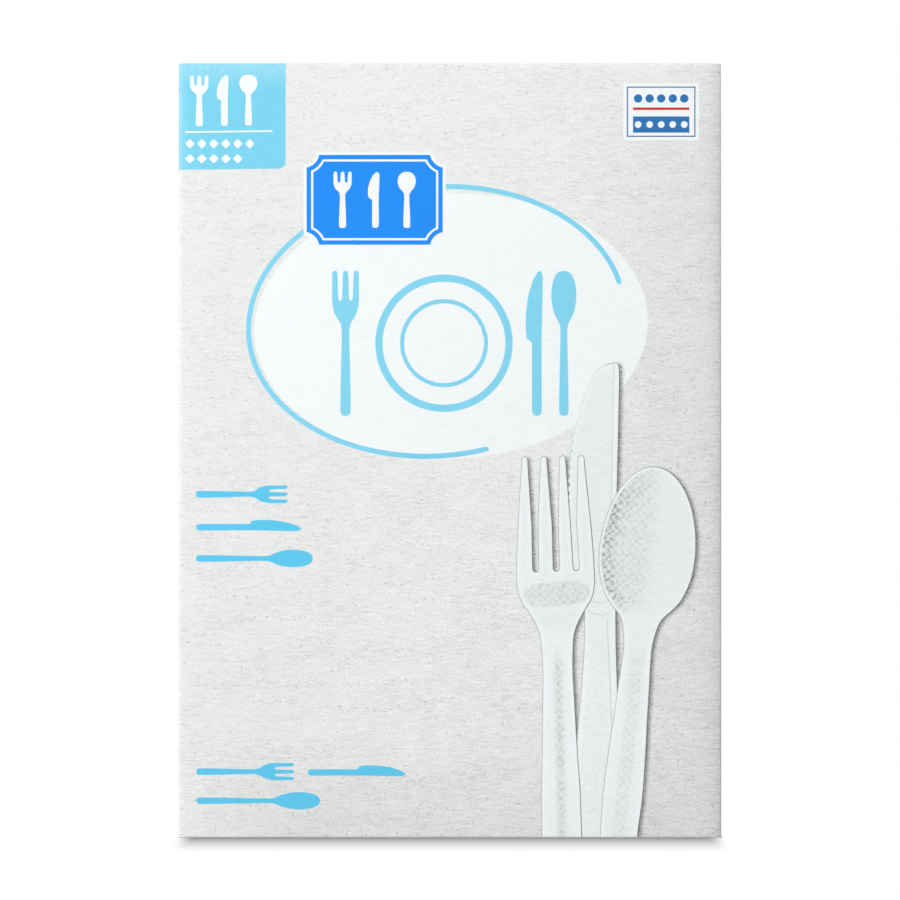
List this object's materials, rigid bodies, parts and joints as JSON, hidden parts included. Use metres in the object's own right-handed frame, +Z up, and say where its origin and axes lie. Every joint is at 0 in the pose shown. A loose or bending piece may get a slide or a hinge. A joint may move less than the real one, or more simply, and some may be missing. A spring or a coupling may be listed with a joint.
{
  "type": "plastic cutlery pack",
  "caption": "Sealed upright paperboard carton of plastic forks, knives and spoons, glued shut with folded flaps at both ends.",
  "frame": {"origin": "centre of the base, on the outside of the bottom flap", "axes": "+Z up along the carton's height, -Y out of the printed front, +X to the right of someone facing the front"},
  "size_m": [0.127, 0.076, 0.181],
  "materials": {
    "printed_board": "smooth coated board with a pale fibre print and a dull satin varnish"
  },
  "bodies": {
    "root": {"carton": "printed_board"}
  },
  "joints": []
}
